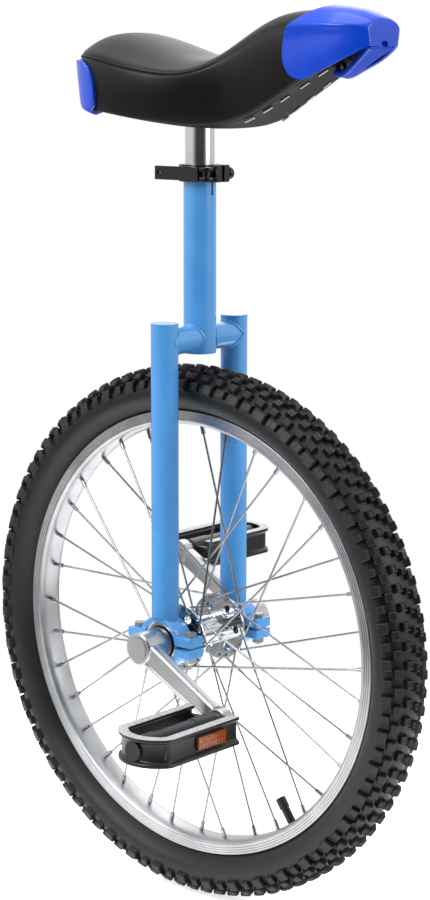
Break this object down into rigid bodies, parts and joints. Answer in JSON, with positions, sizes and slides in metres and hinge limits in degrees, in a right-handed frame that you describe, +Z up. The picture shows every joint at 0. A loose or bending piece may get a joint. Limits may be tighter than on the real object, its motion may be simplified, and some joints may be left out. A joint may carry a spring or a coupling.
{
  "type": "unicycle",
  "caption": "Pedal unicycle with one knobbly spoked wheel, a straight two-legged fork, fixed cranks with platform pedals and a dished saddle on a quick-release seatpost.",
  "frame": {"origin": "where the tyre meets the ground, straight under the axle", "axes": "+X forward, +Y to the rider's left along the axle, +Z up"},
  "size_m": [0.514, 0.414, 0.8402],
  "materials": {
    "frame_paint": "gloss",
    "zinc_steel": "satin",
    "bearing_steel": "polished",
    "chrome_plate": "polished",
    "forged_alloy": "satin",
    "rim_alloy": "satin",
    "clamp_black": "satin",
    "black_plastic": "matte",
    "grey_plastic": "matte",
    "blue_plastic": "gloss",
    "amber_reflector": "gloss",
    "saddle_vinyl": "satin",
    "tyre_rubber": "matte",
    "butyl_rubber": "matte"
  },
  "bodies": {
    "frame": {"seat_tube": "frame_paint", "crown_tubes": "frame_paint", "right_leg": "frame_paint", "left_leg": "frame_paint", "leg_caps": "frame_paint", "right_bearing_holder": "frame_paint", "left_bearing_holder": "frame_paint", "right_bearing_cap": "frame_paint", "left_bearing_cap": "frame_paint", "holder_bolts": "zinc_steel", "holder_nuts": "zinc_steel", "bearing_outer_races": "bearing_steel", "bearing_seals": "black_plastic", "clamp_collar": "clamp_black", "clamp_skewer": "zinc_steel", "clamp_washer": "black_plastic", "clamp_pivot_pin": "zinc_steel"},
    "saddle": {"seatpost": "chrome_plate", "seatpost_plate": "zinc_steel", "saddle_studs": "zinc_steel", "saddle_nuts": "zinc_steel", "saddle_base": "black_plastic", "saddle_cushion": "saddle_vinyl", "front_bumper": "blue_plastic", "rear_bumper": "blue_plastic", "bumper_screws": "black_plastic", "saddle_staples": "zinc_steel"},
    "clamp_lever": {"clamp_lever": "clamp_black"},
    "clamp_nut": {"clamp_nut": "clamp_black"},
    "wheel": {"hub": "chrome_plate", "bearing_inner_races": "bearing_steel", "right_spokes": "zinc_steel", "left_spokes": "zinc_steel", "nipples": "zinc_steel", "rim": "rim_alloy", "rim_joint_sleeve": "zinc_steel", "rim_tape": "butyl_rubber", "inner_tube": "butyl_rubber", "valve_stem": "butyl_rubber", "tyre": "tyre_rubber", "right_crank": "forged_alloy", "left_crank": "forged_alloy", "crank_bolts": "zinc_steel", "dust_caps": "grey_plastic", "right_pedal_spindle": "zinc_steel", "left_pedal_spindle": "zinc_steel", "pedal_cones": "zinc_steel"},
    "valve_cap": {"valve_cap": "black_plastic"},
    "right_bearing_set": {"right_bearing_balls": "bearing_steel", "right_bearing_cage": "black_plastic"},
    "left_bearing_set": {"left_bearing_balls": "bearing_steel", "left_bearing_cage": "black_plastic"},
    "right_pedal": {"right_pedal_body": "black_plastic", "right_pedal_reflectors": "amber_reflector", "right_pedal_end_cap": "black_plastic"},
    "left_pedal": {"left_pedal_body": "black_plastic", "left_pedal_reflectors": "amber_reflector", "left_pedal_end_cap": "black_plastic"},
    "right_pedal_balls": {"right_pedal_balls": "bearing_steel"},
    "left_pedal_balls": {"left_pedal_balls": "bearing_steel"}
  },
  "joints": [
    {"name": "wheel_spin", "type": "hinge", "parent": "frame", "child": "wheel", "pos_m": [0, 0, 0.257], "axis": [0, 1, 0], "continuous": true},
    {"name": "right_bearing_roll", "type": "hinge", "parent": "frame", "child": "right_bearing_set", "pos_m": [0, -0.04875, 0.257], "axis": [0, 1, 0], "continuous": true},
    {"name": "left_bearing_roll", "type": "hinge", "parent": "frame", "child": "left_bearing_set", "pos_m": [0, 0.04875, 0.257], "axis": [0, 1, 0], "continuous": true},
    {"name": "right_pedal_spin", "type": "hinge", "parent": "wheel", "child": "right_pedal", "pos_m": [0.10414, -0.15, 0.21063], "axis": [0, 1, 0], "continuous": true},
    {"name": "left_pedal_spin", "type": "hinge", "parent": "wheel", "child": "left_pedal", "pos_m": [-0.10414, 0.15, 0.30337], "axis": [0, 1, 0], "continuous": true},
    {"name": "right_pedal_ball_roll", "type": "hinge", "parent": "wheel", "child": "right_pedal_balls", "pos_m": [0.10414, -0.15, 0.21063], "axis": [0, 1, 0], "continuous": true},
    {"name": "left_pedal_ball_roll", "type": "hinge", "parent": "wheel", "child": "left_pedal_balls", "pos_m": [-0.10414, 0.15, 0.30337], "axis": [0, 1, 0], "continuous": true},
    {"name": "valve_cap_unscrew", "type": "slide", "parent": "wheel", "child": "valve_cap", "axis": [-0.5736, 0, 0.8192], "range_m": [0, 0.013]},
    {"name": "saddle_height", "type": "slide", "parent": "frame", "child": "saddle", "axis": [0, 0, 1], "range_m": [-0.028, 0.08]},
    {"name": "clamp_release", "type": "hinge", "parent": "frame", "child": "clamp_lever", "pos_m": [0.0235, -0.0182, 0.69125], "axis": [0, 0, 1], "range_deg": [0, 150]},
    {"name": "clamp_nut_turn", "type": "hinge", "parent": "frame", "child": "clamp_nut", "pos_m": [0.0235, 0.012, 0.69125], "axis": [0, 1, 0], "continuous": true}
  ],
  "couplings": [
    {"joint": "right_bearing_roll", "follows": "wheel_spin", "ratio": 0.3818},
    {"joint": "left_bearing_roll", "follows": "wheel_spin", "ratio": 0.3818},
    {"joint": "right_pedal_ball_roll", "follows": "right_pedal_spin", "ratio": 0.6521},
    {"joint": "left_pedal_ball_roll", "follows": "left_pedal_spin", "ratio": 0.6521}
  ]
}
